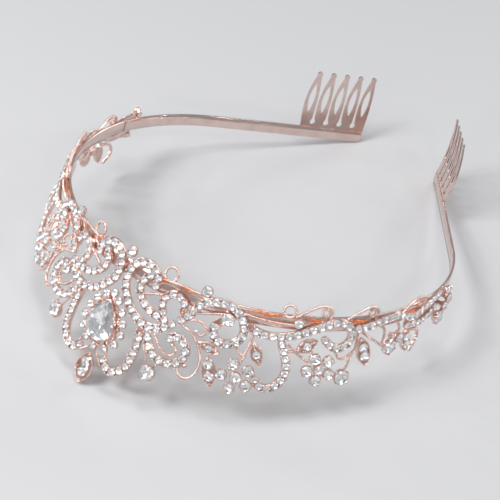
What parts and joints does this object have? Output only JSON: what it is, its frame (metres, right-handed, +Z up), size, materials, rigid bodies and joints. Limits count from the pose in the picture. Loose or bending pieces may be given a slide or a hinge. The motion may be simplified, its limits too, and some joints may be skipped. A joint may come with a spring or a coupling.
{
  "type": "bridal tiara",
  "caption": "Openwork stone-set tiara on a springy flat headband with a toothed hair comb at each end",
  "frame": {"origin": "middle of the footprint on the surface the tiara rests on, as it lies with the combs pointing up", "axes": "+Z up from that surface, -Y towards the decorated front, +X to the side of the right-hand arm seen from behind the front; the tiara is the same on both sides of X = 0"},
  "size_m": [0.1636, 0.1986, 0.0468],
  "materials": {
    "cast_plating": "rose gold plated, bright",
    "band_plating": "rose gold plated, polished strip",
    "crystal": "faceted, foil backed"
  },
  "bodies": {
    "front": {"centre_leaf": "cast_plating", "centre_pear_setting": "cast_plating", "centre_pear_stone": "crystal", "centre_small_stones": "crystal", "centre_top_stone": "crystal", "centre_top_stud": "cast_plating", "headband_front": "band_plating", "left_cradle_scroll": "cast_plating", "left_curl_wires": "cast_plating", "left_drop_setting": "cast_plating", "left_drop_stone": "crystal", "left_end_rail": "cast_plating", "left_end_spray": "cast_plating", "left_far_crown": "cast_plating", "left_far_flower": "cast_plating", "left_far_leaves": "cast_plating", "left_hanging_scroll": "cast_plating", "left_inner_scrolls": "cast_plating", "left_large_stones": "crystal", "left_leaf_stones": "crystal", "left_middle_crown": "cast_plating", "left_near_crown": "cast_plating", "left_near_finial": "cast_plating", "left_near_flower": "cast_plating", "left_near_leaves": "cast_plating", "left_outer_scroll": "cast_plating", "left_pave_stones": "crystal", "left_petal_stones": "crystal", "left_rail_scroll": "cast_plating", "left_spiral_scroll": "cast_plating", "left_thick_scroll": "cast_plating", "right_cradle_scroll": "cast_plating", "right_curl_wires": "cast_plating", "right_drop_setting": "cast_plating", "right_drop_stone": "crystal", "right_end_rail": "cast_plating", "right_end_spray": "cast_plating", "right_far_crown": "cast_plating", "right_far_flower": "cast_plating", "right_far_leaves": "cast_plating", "right_hanging_scroll": "cast_plating", "right_inner_scrolls": "cast_plating", "right_large_stones": "crystal", "right_leaf_stones": "crystal", "right_middle_crown": "cast_plating", "right_near_crown": "cast_plating", "right_near_finial": "cast_plating", "right_near_flower": "cast_plating", "right_near_leaves": "cast_plating", "right_outer_scroll": "cast_plating", "right_pave_stones": "crystal", "right_petal_stones": "crystal", "right_rail_scroll": "cast_plating", "right_spiral_scroll": "cast_plating", "right_thick_scroll": "cast_plating"},
    "left_arm": {"headband_left_arm": "band_plating", "left_comb": "band_plating"},
    "right_arm": {"headband_right_arm": "band_plating", "right_comb": "band_plating"}
  },
  "joints": [
    {"name": "left_arm_flex", "type": "hinge", "parent": "front", "child": "left_arm", "pos_m": [-0.0749, 0.01068, 0.02156], "axis": [0, 0.2312, 0.9729], "range_deg": [-6, 6], "stiffness_Nm_per_rad": 0.8},
    {"name": "right_arm_flex", "type": "hinge", "parent": "front", "child": "right_arm", "pos_m": [0.0749, 0.01068, 0.02156], "axis": [0, 0.2312, 0.9729], "range_deg": [-6, 6], "stiffness_Nm_per_rad": 0.8}
  ]
}
